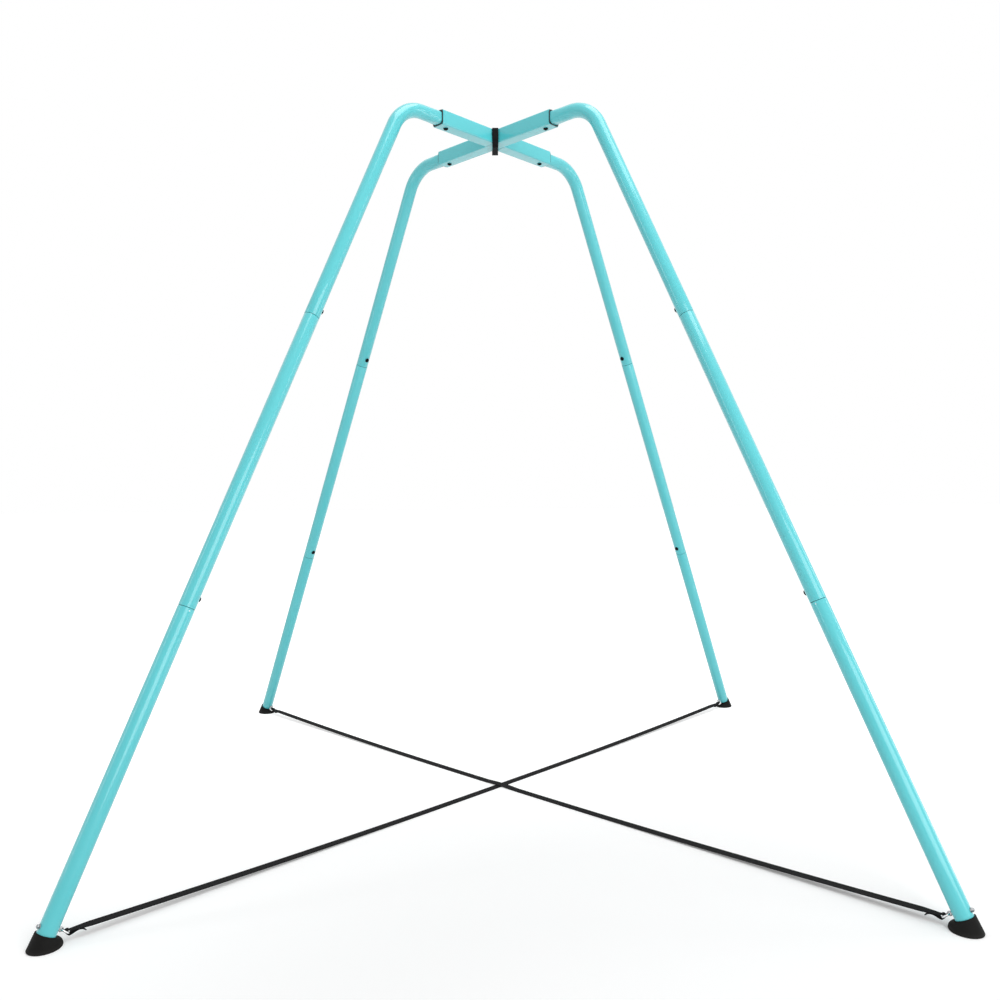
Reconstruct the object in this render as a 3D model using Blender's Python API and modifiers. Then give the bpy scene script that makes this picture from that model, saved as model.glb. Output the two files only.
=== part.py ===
"""A four-legged A-frame swing stand.

Four bent legs plug into a square cross at the top and spread to rubber feet on the floor.
Two webbing straps cross on the floor between rings at the feet, and a webbing sling hangs
from the cross. The origin is on the floor under the cross, front is -Y. Metres.
"""

from math import cos, pi, radians, sin, tan, tau

import bmesh
import bpy
from mathutils import Matrix, Vector

# The legs: a leg's straight line starts at its corner, where it meets the line of its arm.
HUB_HEIGHT = 2.094
LEAN = radians(26.3)
CORNER_RADIUS = 0.387
UPPER_LENGTH = 0.732
MIDDLE_LENGTH = 0.826
TUBE_DIAMETER = 0.042
TUBE_WALL = 0.0015
BEND_RADIUS = 0.120
SWAGE_LENGTH = 0.078
SWAGE_SHOULDER = 0.003

# The cross at the top, and the tube ends that plug into its arms.
ARM_REACH = 0.247
ARM_SIDE = 0.045
ARM_WALL = 0.002
ARM_CORNER = 0.005
PLUG_DEPTH = 0.065
PLUG_SIDE = 0.038
PLUG_CORNER = 0.0115
PLUG_BLEND = 0.030
BUSH_DEPTH = 0.058
BUSH_LIP = 0.002
BUSH_LIP_SIDE = 0.0444
BUSH_LIP_CORNER = 0.010

# The screws, with welded nuts inside the tubes that they hold.
HUB_BOLT_FROM_END = 0.031
HUB_BOLT_SHANK = 0.008
HUB_BOLT_HEAD = 0.0155
HUB_BOLT_HEAD_HEIGHT = 0.005
HUB_NUT_DIAMETER = 0.014
LEG_BOLT_ABOVE_JOINT = 0.028
LEG_BOLT_SHANK = 0.006
LEG_BOLT_HEAD = 0.0155
LEG_BOLT_HEAD_HEIGHT = 0.0045
LEG_NUT_DIAMETER = 0.011
WELD_NUT_HEIGHT = 0.006
NUT_BITE = 0.0004

# The rubber feet.
FOOT_RISE = 0.032
FOOT_SOCKET = 0.018
FOOT_COLLAR = 0.0025
FOOT_COLLAR_DIAMETER = 0.0487
SOLE_LENGTH = 0.074
SOLE_WIDTH = 0.068
SOLE_SHIFT = 0.0105
SOLE_EDGE = 0.0025
SOLE_INSET = 0.0012

# The eye bolts, their washers and nuts, and the rings that the straps are looped on.
EYE_ABOVE_FOOT = 0.013
EYE_REACH = 0.0275
EYE_RADIUS = 0.0043
EYE_WIRE = 0.0032
EYE_SHANK = 0.005
THREAD_END = 0.002
WASHER_DIAMETER = 0.0115
WASHER_THICKNESS = 0.0012
NUT_ACROSS_CORNERS = 0.0092
NUT_HEIGHT = 0.004
RING_RADIUS = 0.010
RING_WIRE = 0.004
RING_DROP = radians(38)

# The webbing.
STRAP_WIDTH = 0.025
STRAP_THICKNESS = 0.0018
STRAP_GATHERED_WIDTH = 0.013
STRAP_GATHER_LENGTH = 0.045
STRAP_RISE_LENGTH = 1.200
STRAP_TAIL = 0.034
TAIL_SEWN_FROM = 0.016
TAIL_SEWN_TO = 0.026
TAIL_DROOP = 0.005
LAYER_GAP = 0.0004
BIGHT_GAP = 0.0008
RING_PLAY = 0.0019
CROSSING_RAMP = 0.060
SLING_WIDTH = 0.019
SLING_DROP = 0.014
SLING_CORNER = 0.009
SLING_LOOP_CORNER = 0.010
SLING_TAB = 0.004
SLING_SWING = radians(20)

# The gap between pieces that touch, and how far a cutter goes past what it cuts.
FIT = 0.0003
CUT_CLEAR = 0.002

TUBE_SIDES = 20
BEND_STEPS = 7
SCREW_SIDES = 10

LEGS = {
    "front_left": radians(-135),
    "front_right": radians(-45),
    "rear_left": radians(135),
    "rear_right": radians(45),
}

# What follows from the driving dimensions.
TUBE_RADIUS = TUBE_DIAMETER / 2
BORE_RADIUS = TUBE_RADIUS - TUBE_WALL
SWAGE_RADIUS = BORE_RADIUS - FIT
FLOOR_SLANT = HUB_HEIGHT / cos(LEAN)
FLOOR_RADIUS = CORNER_RADIUS + FLOOR_SLANT * sin(LEAN)
FOOT_TOP = FLOOR_SLANT - FOOT_RISE
TUBE_END = FOOT_TOP + FOOT_SOCKET - FIT
LOWER_JOINT = UPPER_LENGTH + MIDDLE_LENGTH
EYE_SLANT = FOOT_TOP - EYE_ABOVE_FOOT
ARM_HALF = ARM_SIDE / 2
ARM_BORE = ARM_SIDE - 2 * ARM_WALL
BUSH_SIDE = ARM_BORE - 2 * FIT
LIP_START = ARM_REACH + FIT
PLUG_END = ARM_REACH - PLUG_DEPTH
HUB_BOLT_RADIUS = ARM_REACH - HUB_BOLT_FROM_END
BUSH_START = ARM_REACH - BUSH_DEPTH
SWAGE_BORE = SWAGE_RADIUS - TUBE_WALL
HUB_BOLT_LENGTH = (ARM_SIDE - PLUG_SIDE) / 2 + FIT + TUBE_WALL + WELD_NUT_HEIGHT
LEG_BOLT_LENGTH = TUBE_RADIUS - SWAGE_BORE + FIT + WELD_NUT_HEIGHT
EYE_X = CORNER_RADIUS + EYE_SLANT * sin(LEAN) - EYE_REACH * cos(LEAN)
EYE_Z = HUB_HEIGHT - EYE_SLANT * cos(LEAN) - EYE_REACH * sin(LEAN)
WIRE_X = EYE_X - 2 * RING_RADIUS * cos(RING_DROP)
WIRE_Z = EYE_Z - 2 * RING_RADIUS * sin(RING_DROP)
STRAP_Z = FIT + STRAP_THICKNESS / 2
CROSSING_LIFT = STRAP_THICKNESS + FIT


# Scene helpers.


def clear_scene():
    for obj in list(bpy.data.objects):
        bpy.data.objects.remove(obj, do_unlink=True)


def new_collection(name):
    collection = bpy.data.collections.new(name)
    bpy.context.scene.collection.children.link(collection)
    return collection


def new_material(name, colour, roughness, metallic):
    material = bpy.data.materials.new(name)
    material.use_nodes = True
    shader = material.node_tree.nodes["Principled BSDF"]
    shader.inputs["Base Color"].default_value = (*colour, 1)
    shader.inputs["Roughness"].default_value = roughness
    shader.inputs["Metallic"].default_value = metallic
    material.diffuse_color = (*colour, 1)
    return material


def new_empty(name, parent=None, location=(0, 0, 0), rotation=(0, 0, 0)):
    empty = bpy.data.objects.new(name, None)
    empty.empty_display_size = 0.05
    empty.parent = parent
    empty.location = location
    empty.rotation_euler = rotation
    parts.objects.link(empty)
    return empty


def new_part(name, mesh, material, parent=None, location=(0, 0, 0), rotation=(0, 0, 0)):
    part = bpy.data.objects.new(name, mesh.copy())
    part.data.name = name
    part.data.materials.clear()
    part.data.materials.append(material)
    part.data.shade_smooth()
    part.data.set_sharp_from_angle(angle=radians(35))
    part.parent = parent
    part.location = location
    part.rotation_euler = rotation
    parts.objects.link(part)
    return part


def new_helper(name, mesh, parent=None, location=(0, 0, 0), rotation=(0, 0, 0)):
    helper = bpy.data.objects.new(name, mesh)
    helper.hide_render = True
    helper.display_type = "WIRE"
    helper.parent = parent
    helper.location = location
    helper.rotation_euler = rotation
    helpers.objects.link(helper)
    return helper


def combine(part, other, operation):
    modifier = part.modifiers.new(other.name, "BOOLEAN")
    modifier.operation = operation
    modifier.solver = "EXACT"
    modifier.object = other


# Shapes, each made once and shared by the four legs.


def finished_mesh(source):
    """The object's mesh with its modifiers applied. The object is removed."""
    bpy.context.view_layer.update()
    graph = bpy.context.evaluated_depsgraph_get()
    mesh = bpy.data.meshes.new_from_object(source.evaluated_get(graph))
    bpy.data.objects.remove(source)
    return mesh


def mesh_of(bm, name):
    mesh = bpy.data.meshes.new(name)
    bm.to_mesh(mesh)
    bm.free()
    return mesh


def turned(name, profile, closed=False, sides=TUBE_SIDES):
    """A profile of (radius, z) turned about Z. It runs down its outer side."""
    edges = [(i, i + 1) for i in range(len(profile) - 1)]
    if closed:
        edges.append((len(profile) - 1, 0))
    mesh = bpy.data.meshes.new(name)
    mesh.from_pydata([(r, 0, z) for r, z in profile], edges, [])
    source = bpy.data.objects.new(name, mesh)
    helpers.objects.link(source)
    screw = source.modifiers.new("Screw", "SCREW")
    screw.axis = "Z"
    screw.steps = sides
    screw.render_steps = sides
    screw.use_merge_vertices = True
    screw.merge_threshold = 0.00001
    return finished_mesh(source)


def cylinder(name, radius, start, end, sides=TUBE_SIDES, turn=None):
    """A cylinder on Z from start to end, then turned by a matrix."""
    bm = bmesh.new()
    place = Matrix.Translation((0, 0, (start + end) / 2))
    bmesh.ops.create_cone(
        bm,
        cap_ends=True,
        segments=sides,
        radius1=radius,
        radius2=radius,
        depth=end - start,
        matrix=(turn or Matrix()) @ place,
    )
    return mesh_of(bm, name)


def bar(name, start, end, side, corner):
    """A square bar along X from start to end, with its long edges rounded."""
    bm = bmesh.new()
    bmesh.ops.create_cube(bm, size=1)
    bmesh.ops.scale(bm, vec=(end - start, side, side), verts=bm.verts)
    bmesh.ops.translate(bm, vec=((start + end) / 2, 0, 0), verts=bm.verts)
    along = [e for e in bm.edges if abs(e.verts[0].co.x - e.verts[1].co.x) > 0.5 * (end - start)]
    bmesh.ops.bevel(bm, geom=along, offset=corner, segments=3, profile=0.5, affect="EDGES")
    return mesh_of(bm, name)


def rounded_square(half, corner):
    """Points around a rounded square. With corner equal to half it is a circle."""
    points = []
    for k in range(TUBE_SIDES):
        c = cos(tau * k / TUBE_SIDES)
        s = sin(tau * k / TUBE_SIDES)
        flat_c = 0 if abs(c) < 1e-6 else (half - corner) * (1 if c > 0 else -1)
        flat_s = 0 if abs(s) < 1e-6 else (half - corner) * (1 if s > 0 else -1)
        points.append((flat_c + corner * c, flat_s + corner * s))
    return points


def loft(name, rings, closed=False):
    """Faces between rings of points. An open loft gets flat caps, a closed one ends where it began."""
    bm = bmesh.new()
    rows = [[bm.verts.new(point) for point in ring] for ring in rings]
    count = len(rows[0])
    for i in range(len(rows) if closed else len(rows) - 1):
        near = rows[i]
        far = rows[(i + 1) % len(rows)]
        for k in range(count):
            nxt = (k + 1) % count
            bm.faces.new((near[k], near[nxt], far[nxt], far[k]))
    if not closed:
        bm.faces.new(reversed(rows[0]))
        bm.faces.new(rows[-1])
    bmesh.ops.recalc_face_normals(bm, faces=bm.faces)
    return mesh_of(bm, name)


def ribbon(name, line, widths, thickness, normal):
    """A strip of webbing along a line of points, wide along normal."""
    bm = bmesh.new()
    rows = []
    for point, width in zip(line, widths):
        side = normal * (width / 2)
        rows.append((bm.verts.new(point - side), bm.verts.new(point + side)))
    for near, far in zip(rows, rows[1:]):
        bm.faces.new((near[0], near[1], far[1], far[0]))
    source = bpy.data.objects.new(name, mesh_of(bm, name))
    helpers.objects.link(source)
    solid = source.modifiers.new("Thickness", "SOLIDIFY")
    solid.thickness = thickness
    solid.offset = 0
    solid.use_even_offset = True
    return finished_mesh(source)


def tube_path():
    """Centre points and directions of the bent tube in its upright plane, X outwards from the hub."""
    reach = BEND_RADIUS * tan((pi / 2 - LEAN) / 2)
    stations = [PLUG_END, ARM_REACH + BUSH_LIP + FIT, ARM_REACH + BUSH_LIP + PLUG_BLEND]
    path = [(Vector((x, 0, 0)), 0) for x in stations]
    start = CORNER_RADIUS - reach
    for k in range(BEND_STEPS + 1):
        angle = (pi / 2 - LEAN) * k / BEND_STEPS
        x = start + BEND_RADIUS * sin(angle)
        z = -BEND_RADIUS * (1 - cos(angle))
        path.append((Vector((x, 0, z)), angle))
    end = Vector((CORNER_RADIUS + UPPER_LENGTH * sin(LEAN), 0, -UPPER_LENGTH * cos(LEAN)))
    path.append((end, pi / 2 - LEAN))
    return path


def tube_ring(centre, angle, half, corner):
    """A section across the bent tube, where the tube runs at this angle below the horizontal."""
    up = Vector((sin(angle), 0, cos(angle)))
    across = Vector((0, 1, 0))
    return [centre + up * u + across * v for u, v in rounded_square(half, corner)]


def upper_tube():
    """A bent tube, round but for the end that plugs into the arm."""
    outer = []
    inner = []
    for i, (centre, angle) in enumerate(tube_path()):
        half = PLUG_SIDE / 2 if i < 2 else TUBE_RADIUS
        corner = PLUG_CORNER if i < 2 else TUBE_RADIUS
        outer.append(tube_ring(centre, angle, half, corner))
        inner.append(tube_ring(centre, angle, half - TUBE_WALL, corner - TUBE_WALL))
    return loft("upper_tube", outer + inner[::-1], closed=True)


def straight_tube(name, joint, end):
    """A tube whose narrowed top reaches up inside the tube above. Z runs down the leg."""
    top = joint - SWAGE_LENGTH
    start = joint + FIT
    wide = start + SWAGE_SHOULDER
    profile = [
        (TUBE_RADIUS, end),
        (TUBE_RADIUS, wide),
        (SWAGE_RADIUS, start),
        (SWAGE_RADIUS, top),
        (SWAGE_RADIUS - TUBE_WALL, top),
        (SWAGE_RADIUS - TUBE_WALL, start),
        (BORE_RADIUS, wide),
        (BORE_RADIUS, end),
    ]
    return turned(name, profile, closed=True)


def button_head_bolt(name, head, head_height, shank, length):
    """A screw on Z, with its domed head above z = 0 and its shank below."""
    dome = [(head / 2 * sin(a), head_height * cos(a)) for a in (0, 0.5, 1.0, 1.35)]
    profile = [*dome, (head / 2, 0), (shank / 2, 0), (shank / 2, -length), (0, -length)]
    return turned(name, profile, sides=SCREW_SIDES)


def foot():
    """A rubber foot on the floor. Its origin is where the leg's line meets the floor."""
    down = Vector((sin(LEAN), 0, -cos(LEAN)))
    out = Vector((cos(LEAN), 0, sin(LEAN)))
    across = Vector((0, 1, 0))
    radius = FOOT_COLLAR_DIAMETER / 2
    turns = [tau * k / TUBE_SIDES for k in range(TUBE_SIDES)]

    def collar_ring(rise):
        centre = down * -rise
        return [centre + out * (radius * cos(a)) + across * (radius * sin(a)) for a in turns]

    def sole_ring(inset, z):
        half_x = SOLE_LENGTH / 2 - inset
        half_y = SOLE_WIDTH / 2 - inset
        return [Vector((half_x * cos(a) - SOLE_SHIFT, half_y * sin(a), z)) for a in turns]

    collar = collar_ring(FOOT_RISE - FOOT_COLLAR)
    edge = sole_ring(0, SOLE_EDGE)
    rings = [collar_ring(FOOT_RISE), collar]
    for step in (0.25, 0.5, 0.75):
        ring = []
        for angle, high, low in zip(turns, collar, edge):
            bulge = ((1 - cos(angle)) / 2) ** 2
            along = (1 - bulge) * step + bulge * sin(step * pi / 2)
            fall = (1 - bulge) * step + bulge * (1 - cos(step * pi / 2))
            point = high.lerp(low, along)
            point.z = high.z + (low.z - high.z) * fall
            ring.append(point)
        rings.append(ring)
    rings += [edge, sole_ring(SOLE_INSET, 0)]
    return loft("foot", rings)


def eye_bolt():
    """An eye bolt along X: the eye at the origin, its shank towards -X."""
    end = EYE_REACH + TUBE_RADIUS + FIT + WASHER_THICKNESS + FIT + NUT_HEIGHT + THREAD_END
    upright = Matrix.Rotation(radians(90), 4, "X")
    eye = torus("eye", EYE_RADIUS, EYE_WIRE / 2, 16, 8, upright)
    along = Matrix.Rotation(radians(-90), 4, "Y")
    shank = cylinder("shank", EYE_SHANK / 2, EYE_RADIUS, end, SCREW_SIDES, along)
    source = new_helper("eye_source", eye)
    other = new_helper("shank_source", shank)
    combine(source, other, "UNION")
    mesh = finished_mesh(source)
    bpy.data.objects.remove(other)
    return mesh


def torus(name, radius, wire_radius, around, across, turn):
    """A ring about Z at the origin, then turned by a matrix."""
    bpy.ops.mesh.primitive_torus_add(
        major_segments=around,
        minor_segments=across,
        major_radius=radius,
        minor_radius=wire_radius,
    )
    source = bpy.context.active_object
    mesh = source.data.copy()
    bpy.data.objects.remove(source)
    mesh.name = name
    mesh.transform(turn)
    return mesh


def hexagon_nut():
    """A nut about X, with its bore clear of the shank."""
    along = Matrix.Rotation(radians(90), 4, "Y")
    half = NUT_HEIGHT / 2
    body = cylinder("nut", NUT_ACROSS_CORNERS / 2, -half, half, 6, along)
    bore = cylinder("bore", EYE_SHANK / 2 + FIT, -NUT_HEIGHT, NUT_HEIGHT, SCREW_SIDES, along)
    source = new_helper("nut_source", body)
    other = new_helper("nut_bore", bore)
    combine(source, other, "DIFFERENCE")
    mesh = finished_mesh(source)
    bpy.data.objects.remove(other)
    return mesh


def washer():
    """A washer about Z."""
    outer = WASHER_DIAMETER / 2
    inner = EYE_SHANK / 2 + FIT
    half = WASHER_THICKNESS / 2
    profile = [(outer, half), (outer, -half), (inner, -half), (inner, half)]
    return turned("washer", profile, closed=True, sides=2 * SCREW_SIDES)


def strap_height(x):
    """How high the strap's centre line runs where it comes down from the ring to the floor."""
    over = RING_WIRE / 2 + BIGHT_GAP + STRAP_THICKNESS / 2 + RING_PLAY
    top_x = WIRE_X - over * sin(RING_DROP)
    top_z = WIRE_Z + over * cos(RING_DROP)
    share = min(max((top_x - x) / STRAP_RISE_LENGTH, 0), 1)
    return STRAP_Z + (top_z - STRAP_Z) * (1 - share) ** 2


def strap_end():
    """One end of the strap's centre line: its tail, round the ring's wire and down to the floor."""
    out = Vector((cos(RING_DROP), 0, sin(RING_DROP)))
    over = Vector((-sin(RING_DROP), 0, cos(RING_DROP)))
    wire = Vector((WIRE_X, 0, WIRE_Z))
    clear = RING_WIRE / 2 + BIGHT_GAP + STRAP_THICKNESS / 2
    bight = clear + RING_PLAY / 2
    gathered = STRAP_GATHERED_WIDTH / 2
    inside = RING_RADIUS - RING_WIRE / 2 - BIGHT_GAP
    throat = (inside**2 - gathered**2) ** 0.5 - STRAP_THICKNESS / 2
    turn = wire + out * (RING_RADIUS - throat - bight) + over * (RING_PLAY / 2)
    crest = wire + over * (clear + RING_PLAY)
    layer = STRAP_THICKNESS + LAYER_GAP
    line = []
    for reach, droop in ((STRAP_TAIL, TAIL_DROOP), (TAIL_SEWN_TO, 0), (TAIL_SEWN_FROM, 0)):
        x = WIRE_X - reach
        line.append(Vector((x, 0, strap_height(x) - layer - droop)))
    line.append(wire - Vector((0, 0, clear + FIT)))
    for k in range(9):
        angle = RING_DROP - pi / 2 + pi * k / 8
        line.append(turn + Vector((cos(angle), 0, sin(angle))) * bight)
    line.append(crest)
    for share in (0.0125, 0.0375, 0.1, 0.2, 0.35, 0.5, 0.65, 0.8, 1):
        x = crest.x - STRAP_RISE_LENGTH * share
        line.append(Vector((x, 0, strap_height(x))))
    return line


def ground_strap(lift):
    """A strap along X between the rings of two legs. In the middle it rises by lift."""
    half = strap_end()
    reach = STRAP_WIDTH / 2 + FIT
    for k in range(5):
        share = k / 4
        x = reach + CROSSING_RAMP * (1 - share)
        half.append(Vector((x, 0, STRAP_Z + lift * (3 * share**2 - 2 * share**3))))
    line = half + [Vector((-p.x, 0, p.z)) for p in reversed(half)]
    full = WIRE_X - STRAP_GATHER_LENGTH
    widths = []
    for point in line:
        share = min(max((abs(point.x) - full) / STRAP_GATHER_LENGTH, 0), 1)
        widths.append(STRAP_WIDTH + (STRAP_GATHERED_WIDTH - STRAP_WIDTH) * share)
    return ribbon("ground_strap", line, widths, STRAP_THICKNESS, Vector((0, 1, 0)))


def sling_side():
    """How far in front of the hub's axis the sling's inner layer clears the arms, also as it swings."""
    swept = SLING_WIDTH / 2 * cos(SLING_SWING) + SLING_TAB * sin(SLING_SWING)
    notch = ARM_HALF * 2**0.5 + max(swept, SLING_WIDTH / 2)
    return notch + FIT + STRAP_THICKNESS / 2


def band(name, half):
    """A band of the sling: a line from its front end to its middle, and the same to its rear end."""
    line = half + [Vector((0, -p.y, p.z)) for p in reversed(half)]
    return ribbon(name, line, [SLING_WIDTH] * len(line), STRAP_THICKNESS, Vector((1, 0, 0)))


def sling_wrap():
    """The sling's upper half, over the hub from its front notch to its rear one."""
    y = sling_side() + STRAP_THICKNESS + FIT
    top = ARM_HALF + FIT + STRAP_THICKNESS / 2
    half = [Vector((0, -y, -ARM_HALF - SLING_TAB)), Vector((0, -y, top - SLING_CORNER))]
    for k in range(1, 5):
        angle = pi / 2 * k / 4
        lean_in = SLING_CORNER * (1 - cos(angle))
        rise = SLING_CORNER * sin(angle)
        half.append(Vector((0, -y + lean_in, top - SLING_CORNER + rise)))
    return band("sling_wrap", half)


def sling_loop():
    """The sling's lower half under the hub. Its origin is on the line that it swings about."""
    y = sling_side()
    bottom = STRAP_THICKNESS / 2 - SLING_DROP
    corner = SLING_LOOP_CORNER
    half = [Vector((0, -y, SLING_TAB)), Vector((0, -y, bottom + corner))]
    for k in range(1, 6):
        angle = pi / 2 * k / 5
        half.append(Vector((0, -y + corner * (1 - cos(angle)), bottom + corner * (1 - sin(angle)))))
    return band("sling_loop", half)


# The stand.

clear_scene()
parts = new_collection("a_frame_swing_stand")
helpers = new_collection("cutters")

painted_steel = new_material("painted_steel", (0.15, 0.56, 0.61), 0.32, 0.0)
black_plastic = new_material("black_plastic", (0.012, 0.012, 0.013), 0.45, 0.0)
black_rubber = new_material("black_rubber", (0.018, 0.017, 0.016), 0.75, 0.0)
black_steel = new_material("black_steel", (0.015, 0.015, 0.016), 0.35, 0.9)
zinc_steel = new_material("zinc_steel", (0.62, 0.63, 0.64), 0.28, 1.0)
black_webbing = new_material("black_webbing", (0.012, 0.012, 0.013), 0.85, 0.0)

legs = {}
leg_lines = {}
for side, azimuth in LEGS.items():
    legs[side] = new_empty(f"leg_{side}", rotation=(0, 0, azimuth))
    leg_lines[side] = new_empty(
        f"leg_line_{side}",
        parent=legs[side],
        location=(CORNER_RADIUS, 0, HUB_HEIGHT),
        rotation=(0, pi - LEAN, 0),
    )

# The cutters of the screw holes: each goes through every piece that its screw holds.
hub_hole_mesh = cylinder(
    "hub_hole",
    HUB_BOLT_SHANK / 2 + FIT,
    -ARM_HALF - CUT_CLEAR,
    -ARM_HALF + HUB_BOLT_LENGTH + CUT_CLEAR,
    SCREW_SIDES,
)
sideways = Matrix.Rotation(radians(90), 4, "Y")
joint_hole_mesh = cylinder(
    "joint_hole",
    LEG_BOLT_SHANK / 2 + FIT,
    SWAGE_BORE - WELD_NUT_HEIGHT - CUT_CLEAR,
    TUBE_RADIUS + CUT_CLEAR,
    SCREW_SIDES,
    sideways,
)
eye_hole_mesh = cylinder(
    "eye_hole",
    EYE_SHANK / 2 + FIT,
    -TUBE_RADIUS - CUT_CLEAR,
    TUBE_RADIUS + CUT_CLEAR,
    SCREW_SIDES,
    sideways,
)
hub_holes = {}
joint_holes = {}
eye_holes = {}
for side in LEGS:
    hub_holes[side] = new_helper(
        f"hub_hole_{side}",
        hub_hole_mesh,
        legs[side],
        location=(HUB_BOLT_RADIUS, 0, HUB_HEIGHT),
    )
    for joint, slant in (("upper", UPPER_LENGTH), ("lower", LOWER_JOINT)):
        joint_holes[joint, side] = new_helper(
            f"{joint}_joint_hole_{side}",
            joint_hole_mesh,
            leg_lines[side],
            location=(0, 0, slant - LEG_BOLT_ABOVE_JOINT),
        )
    eye_holes[side] = new_helper(
        f"eye_hole_{side}",
        eye_hole_mesh,
        leg_lines[side],
        location=(0, 0, EYE_SLANT),
    )

# The cross: two square tubes through each other, open at the four ends.
hub_turn = (0, 0, radians(45))
hub_place = (0, 0, HUB_HEIGHT)
along_y = Matrix.Rotation(radians(90), 4, "Z")
arm_mesh = bar("arm", -ARM_REACH, ARM_REACH, ARM_SIDE, ARM_CORNER)
bore_reach = ARM_REACH + CUT_CLEAR
bore_mesh = bar("arm_bore", -bore_reach, bore_reach, ARM_BORE, ARM_CORNER - ARM_WALL)
hub = new_part("hub_cross", arm_mesh, painted_steel, location=hub_place, rotation=hub_turn)
arm_across = arm_mesh.copy()
arm_across.transform(along_y)
bore_across = bore_mesh.copy()
bore_across.transform(along_y)
combine(hub, new_helper("arm_across", arm_across, None, hub_place, hub_turn), "UNION")
combine(hub, new_helper("bore_along", bore_mesh, None, hub_place, hub_turn), "DIFFERENCE")
combine(hub, new_helper("bore_across", bore_across, None, hub_place, hub_turn), "DIFFERENCE")
for side in LEGS:
    combine(hub, hub_holes[side], "DIFFERENCE")

# The black bushes in the arms: a sleeve with a lip over the arm's end.
sleeve_corner = ARM_CORNER - ARM_WALL - FIT
sleeve_mesh = bar("sleeve", BUSH_START, LIP_START + BUSH_LIP / 2, BUSH_SIDE, sleeve_corner)
lip_mesh = bar("lip", LIP_START, LIP_START + BUSH_LIP, BUSH_LIP_SIDE, BUSH_LIP_CORNER)
plug_room = [
    [Vector((x, v, u)) for u, v in rounded_square(PLUG_SIDE / 2 + FIT, PLUG_CORNER + FIT)]
    for x in (BUSH_START - CUT_CLEAR, LIP_START + BUSH_LIP + CUT_CLEAR)
]
plug_room_mesh = loft("plug_room", plug_room)
for side in LEGS:
    bush = new_part(f"hub_bush_{side}", sleeve_mesh, black_plastic, legs[side], hub_place)
    combine(bush, new_helper(f"lip_{side}", lip_mesh, legs[side], hub_place), "UNION")
    combine(bush, new_helper(f"plug_room_{side}", plug_room_mesh, legs[side], hub_place), "DIFFERENCE")
    combine(bush, hub_holes[side], "DIFFERENCE")

# The three tubes of each leg, with the welded nuts that their screws turn into.
upper_mesh = upper_tube()
middle_mesh = straight_tube("middle_tube", UPPER_LENGTH, LOWER_JOINT)
lower_mesh = straight_tube("lower_tube", LOWER_JOINT, TUBE_END)
plug_floor = -PLUG_SIDE / 2 + TUBE_WALL
hub_nut_mesh = cylinder(
    "hub_nut", HUB_NUT_DIAMETER / 2, plug_floor - NUT_BITE, plug_floor + WELD_NUT_HEIGHT, SCREW_SIDES
)
leg_nut_mesh = cylinder(
    "leg_nut",
    LEG_NUT_DIAMETER / 2,
    SWAGE_BORE - WELD_NUT_HEIGHT,
    SWAGE_BORE + NUT_BITE,
    SCREW_SIDES,
    sideways,
)
for side in LEGS:
    upper = new_part(f"upper_tube_{side}", upper_mesh, painted_steel, legs[side], hub_place)
    nut_place = (HUB_BOLT_RADIUS, 0, HUB_HEIGHT)
    combine(upper, new_helper(f"hub_nut_{side}", hub_nut_mesh, legs[side], nut_place), "UNION")
    combine(upper, hub_holes[side], "DIFFERENCE")
    combine(upper, joint_holes["upper", side], "DIFFERENCE")

    middle = new_part(f"middle_tube_{side}", middle_mesh, painted_steel, leg_lines[side])
    lower = new_part(f"lower_tube_{side}", lower_mesh, painted_steel, leg_lines[side])
    for tube, joint, slant in ((middle, "upper", UPPER_LENGTH), (lower, "lower", LOWER_JOINT)):
        place = (0, 0, slant - LEG_BOLT_ABOVE_JOINT)
        nut = new_helper(f"{joint}_leg_nut_{side}", leg_nut_mesh, leg_lines[side], place)
        combine(tube, nut, "UNION")
        combine(tube, joint_holes[joint, side], "DIFFERENCE")
    combine(middle, joint_holes["lower", side], "DIFFERENCE")
    combine(lower, eye_holes[side], "DIFFERENCE")

# The screws.
hub_bolt_mesh = button_head_bolt(
    "hub_bolt", HUB_BOLT_HEAD, HUB_BOLT_HEAD_HEIGHT, HUB_BOLT_SHANK, HUB_BOLT_LENGTH
)
leg_bolt_mesh = button_head_bolt(
    "leg_bolt", LEG_BOLT_HEAD, LEG_BOLT_HEAD_HEIGHT, LEG_BOLT_SHANK, LEG_BOLT_LENGTH
)
for side in LEGS:
    under_arm = (HUB_BOLT_RADIUS, 0, HUB_HEIGHT - ARM_HALF - FIT)
    new_part(f"hub_bolt_{side}", hub_bolt_mesh, black_steel, legs[side], under_arm, (pi, 0, 0))
    for joint, slant in (("upper", UPPER_LENGTH), ("lower", LOWER_JOINT)):
        place = (TUBE_RADIUS + FIT, 0, slant - LEG_BOLT_ABOVE_JOINT)
        name = f"{joint}_joint_bolt_{side}"
        new_part(name, leg_bolt_mesh, black_steel, leg_lines[side], place, (0, pi / 2, 0))

# The rubber feet.
foot_mesh = foot()
socket_mesh = cylinder("socket", TUBE_RADIUS + FIT, FOOT_TOP - CUT_CLEAR, FOOT_TOP + FOOT_SOCKET)
for side in LEGS:
    rubber = new_part(f"rubber_foot_{side}", foot_mesh, black_rubber, legs[side], (FLOOR_RADIUS, 0, 0))
    combine(rubber, new_helper(f"socket_{side}", socket_mesh, leg_lines[side]), "DIFFERENCE")

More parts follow.
